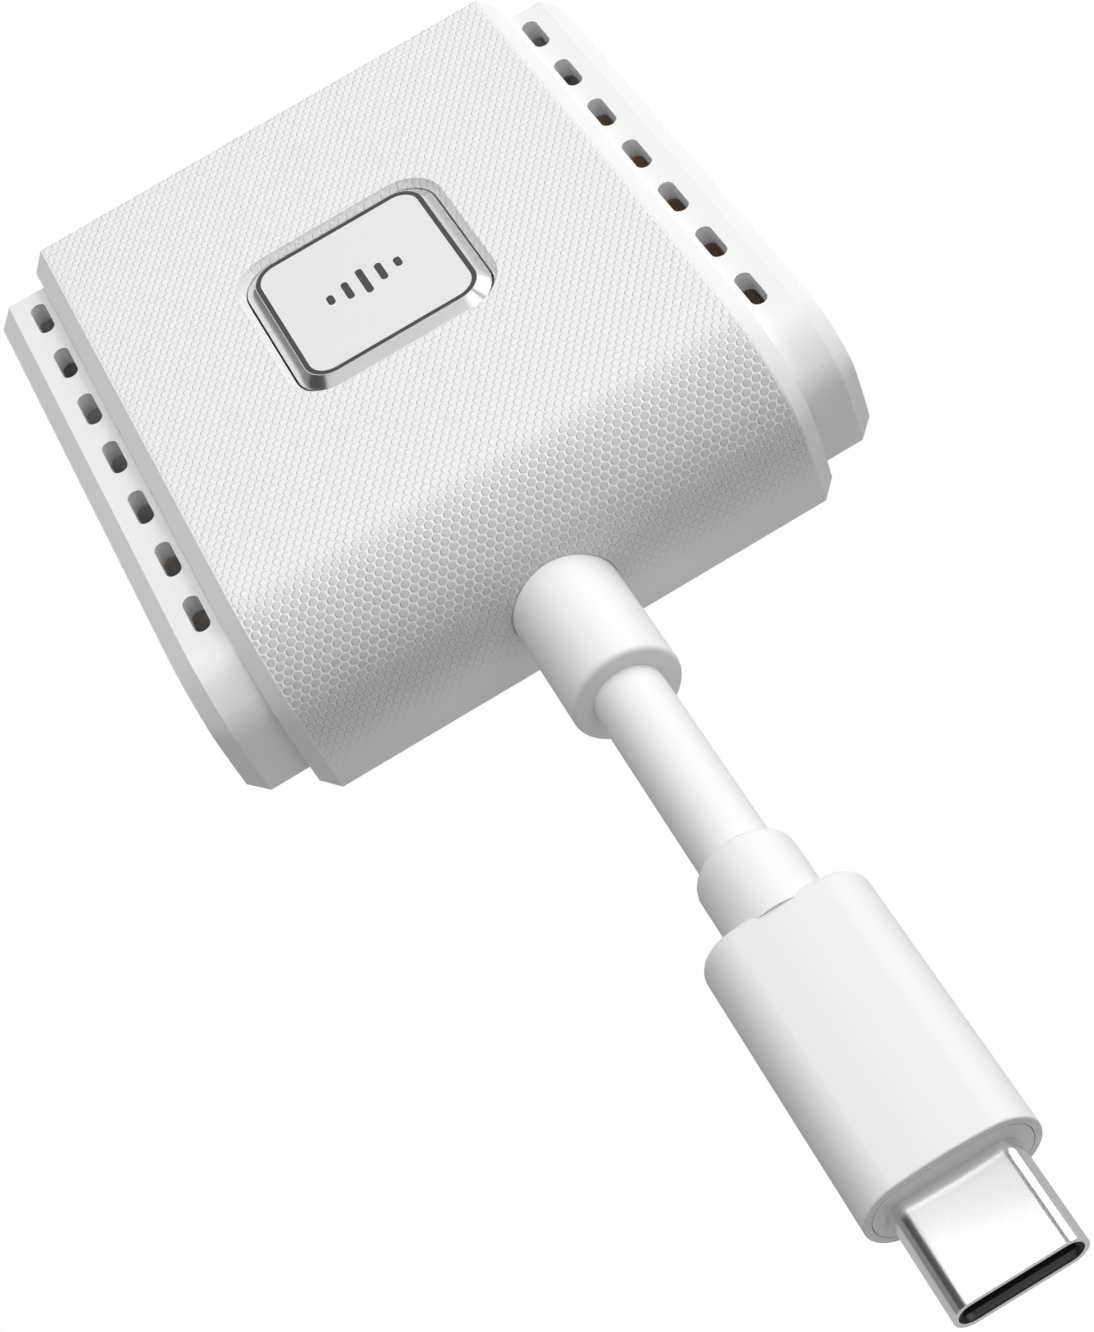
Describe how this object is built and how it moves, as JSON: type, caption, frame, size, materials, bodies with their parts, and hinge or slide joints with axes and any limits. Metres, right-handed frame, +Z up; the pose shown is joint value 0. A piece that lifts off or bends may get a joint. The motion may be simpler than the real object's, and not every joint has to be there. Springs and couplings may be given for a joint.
{
  "type": "wireless audio transmitter",
  "caption": "Small white wireless audio transmitter: textured sleeve, vented end caps, square push button and a short lead with a USB-C plug.",
  "frame": {"origin": "middle of the case's flat base, without the lead and its strain relief", "axes": "+Z up through the button, -Y towards the lead and plug, +X towards the right end cap"},
  "size_m": [0.0486, 0.1072, 0.0141],
  "materials": {
    "sleeve_white": "moulded scale texture, satin",
    "cap_white": "smooth satin",
    "button_white": "smooth semi-gloss",
    "bright_chrome": "polished",
    "dark_trim": "matt dark grey",
    "lead_white": "smooth satin jacket",
    "plug_white": "smooth semi-gloss",
    "plug_steel": "bright nickel plate",
    "insulator_black": "matt black",
    "contact_gold": "gold plate",
    "inner_plastic": "matt dark grey",
    "board_green": "solder mask",
    "chip_black": "matt epoxy",
    "shield_tin": "tinned",
    "spreader_aluminium": "plain",
    "screw_steel": "zinc plate",
    "thermal_grey": "soft pad",
    "copper": "bare copper"
  },
  "bodies": {
    "case": {"sleeve": "sleeve_white", "left_end_cap": "cap_white", "right_end_cap": "cap_white", "chassis_tray": "inner_plastic", "main_board": "board_green", "board_screws": "screw_steel", "shield_frame": "shield_tin", "shield_lid": "shield_tin", "radio_chip": "chip_black", "crystal": "shield_tin", "processor_chip": "chip_black", "flash_chip": "chip_black", "thermal_pad": "thermal_grey", "heat_spreader": "spreader_aluminium", "capacitors": "spreader_aluminium", "inductor": "chip_black", "antenna_left": "copper", "antenna_right": "copper", "switch_body": "inner_plastic", "switch_cover": "screw_steel", "cable_clamp": "inner_plastic", "clamp_screws": "screw_steel", "strain_relief": "lead_white", "cable_jacket": "lead_white", "cable_braid": "shield_tin", "core_wires": "copper", "plug_boot": "lead_white", "plug_overmold": "plug_white", "plug_face": "plug_white", "plug_shell": "plug_steel", "plug_insulator": "insulator_black", "contact_pins": "contact_gold", "latch_springs": "plug_steel", "plug_board": "board_green", "plug_chip": "chip_black"},
    "button": {"button_carrier": "inner_plastic", "button_frame": "bright_chrome", "button_ring": "dark_trim", "button_plate": "button_white", "button_glyph": "dark_trim", "switch_stem": "inner_plastic"}
  },
  "joints": [
    {"name": "button_press", "type": "slide", "parent": "case", "child": "button", "axis": [0, 0, -1], "range_m": [0, 0.0003], "stiffness_N_per_m": 2000}
  ]
}
